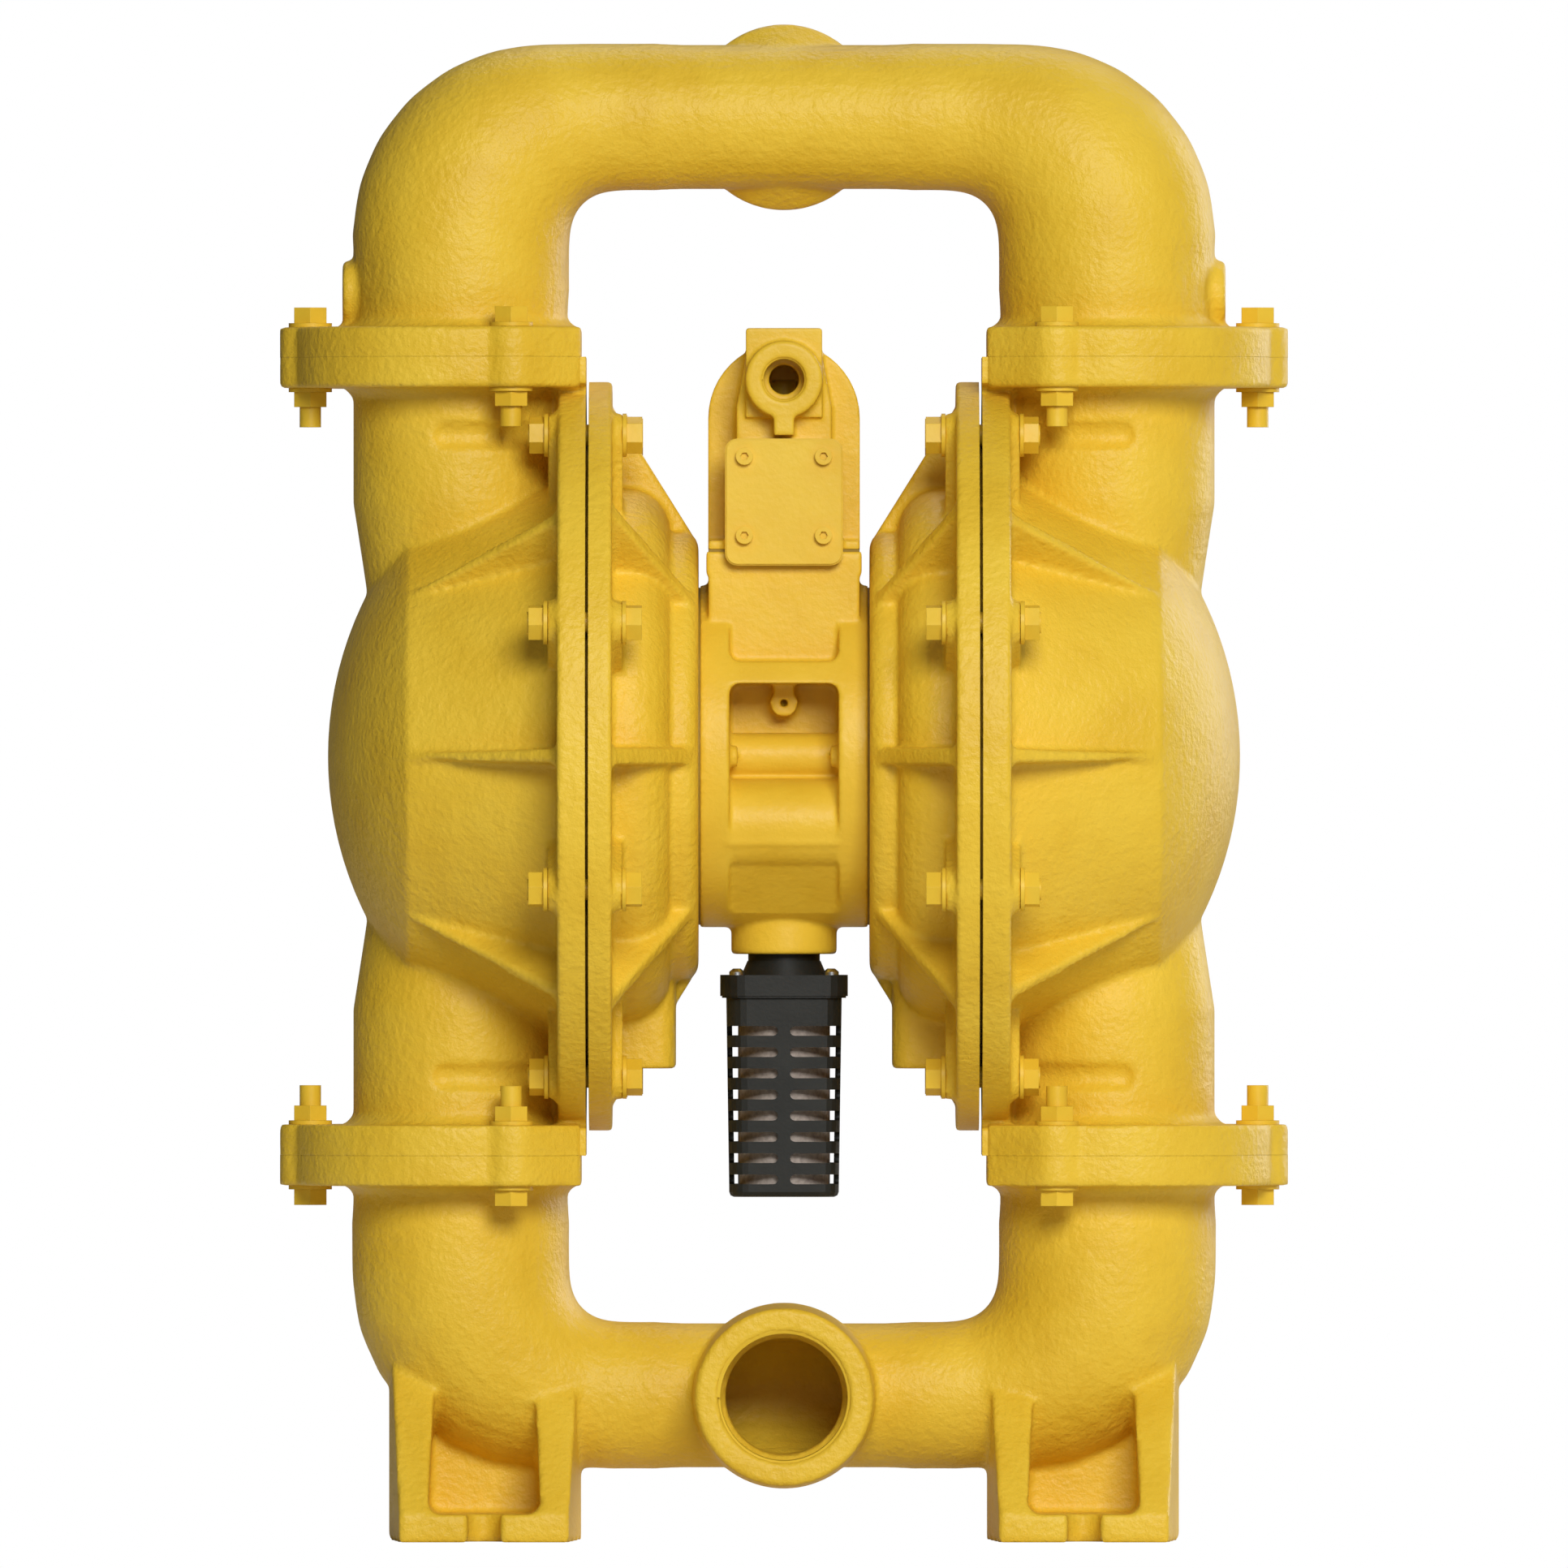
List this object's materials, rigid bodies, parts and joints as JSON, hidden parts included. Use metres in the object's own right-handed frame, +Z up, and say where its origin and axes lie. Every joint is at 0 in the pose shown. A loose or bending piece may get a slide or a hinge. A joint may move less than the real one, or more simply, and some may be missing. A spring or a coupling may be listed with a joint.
{
  "type": "air-operated diaphragm pump",
  "caption": "Air-operated double-diaphragm pump with bolted cast manifolds, flanged chambers, centre air valve and square muffler.",
  "frame": {"origin": "on the floor under the middle of the pump", "axes": "+X from the left pumping chamber to the right one, +Y to the back, +Z up"},
  "size_m": [0.4472, 0.332, 0.6723],
  "materials": {
    "yellow_paint": "gold-yellow enamel over cast metal",
    "steel": "machined steel",
    "rubber": "moulded elastomer",
    "bearing_plastic": "moulded bearing plastic",
    "black_plastic": "moulded black plastic",
    "filter_felt": "pale porous filter element"
  },
  "bodies": {
    "pump": {"suction_manifold": "yellow_paint", "discharge_manifold": "yellow_paint", "left_liquid_chamber": "yellow_paint", "right_liquid_chamber": "yellow_paint", "left_air_chamber": "yellow_paint", "right_air_chamber": "yellow_paint", "centre_block": "yellow_paint", "hub_gaskets": "rubber", "hub_screws": "steel", "left_diaphragm": "rubber", "right_diaphragm": "rubber", "shaft_bushes": "bearing_plastic", "shaft_seals": "rubber", "pilot_sleeve": "steel", "pilot_pin_bushes": "bearing_plastic", "left_discharge_cage": "bearing_plastic", "right_discharge_cage": "bearing_plastic", "left_suction_cage": "bearing_plastic", "right_suction_cage": "bearing_plastic", "left_discharge_seat": "steel", "right_discharge_seat": "steel", "left_suction_seat": "steel", "right_suction_seat": "steel", "seat_seals": "rubber", "chamber_bolts": "yellow_paint", "chamber_nuts": "yellow_paint", "chamber_washers": "yellow_paint", "flange_bolts": "yellow_paint", "flange_nuts": "yellow_paint", "flange_washers": "yellow_paint", "air_valve_body": "yellow_paint", "air_valve_gasket": "rubber", "air_valve_screws": "yellow_paint", "spool_sleeve": "steel", "front_valve_cover": "yellow_paint", "rear_valve_cover": "yellow_paint", "valve_cover_gaskets": "rubber", "valve_cover_screws": "yellow_paint", "muffler_cap": "black_plastic", "muffler_cage": "black_plastic", "muffler_element": "filter_felt", "muffler_screws": "steel"},
    "shaft": {"diaphragm_shaft": "steel", "left_inner_plate": "yellow_paint", "right_inner_plate": "yellow_paint", "left_outer_plate": "steel", "right_outer_plate": "steel", "left_plate_bolt": "steel", "right_plate_bolt": "steel"},
    "pilot": {"pilot_spool": "steel", "pilot_pins": "steel"},
    "spool": {"main_spool": "bearing_plastic"},
    "left_discharge_ball": {"left_discharge_ball": "rubber"},
    "right_discharge_ball": {"right_discharge_ball": "rubber"},
    "left_suction_ball": {"left_suction_ball": "rubber"},
    "right_suction_ball": {"right_suction_ball": "rubber"}
  },
  "joints": [
    {"name": "shaft_slide", "type": "slide", "parent": "pump", "child": "shaft", "axis": [1, 0, 0], "range_m": [-0.014, 0.014], "deforming": ["left_diaphragm", "right_diaphragm"]},
    {"name": "pilot_slide", "type": "slide", "parent": "pump", "child": "pilot", "axis": [1, 0, 0], "range_m": [-0.004, 0.004]},
    {"name": "spool_slide", "type": "slide", "parent": "pump", "child": "spool", "axis": [0, 1, 0], "range_m": [-0.006, 0.006]},
    {"name": "left_discharge_ball_lift", "type": "slide", "parent": "pump", "child": "left_discharge_ball", "axis": [0, 0, 1], "range_m": [0, 0.014]},
    {"name": "right_discharge_ball_lift", "type": "slide", "parent": "pump", "child": "right_discharge_ball", "axis": [0, 0, 1], "range_m": [0, 0.014]},
    {"name": "left_suction_ball_lift", "type": "slide", "parent": "pump", "child": "left_suction_ball", "axis": [0, 0, 1], "range_m": [0, 0.014]},
    {"name": "right_suction_ball_lift", "type": "slide", "parent": "pump", "child": "right_suction_ball", "axis": [0, 0, 1], "range_m": [0, 0.014]}
  ],
  "couplings": [
    {"joint": "pilot_slide", "follows": "shaft_slide", "ratio": 0.28571}
  ]
}
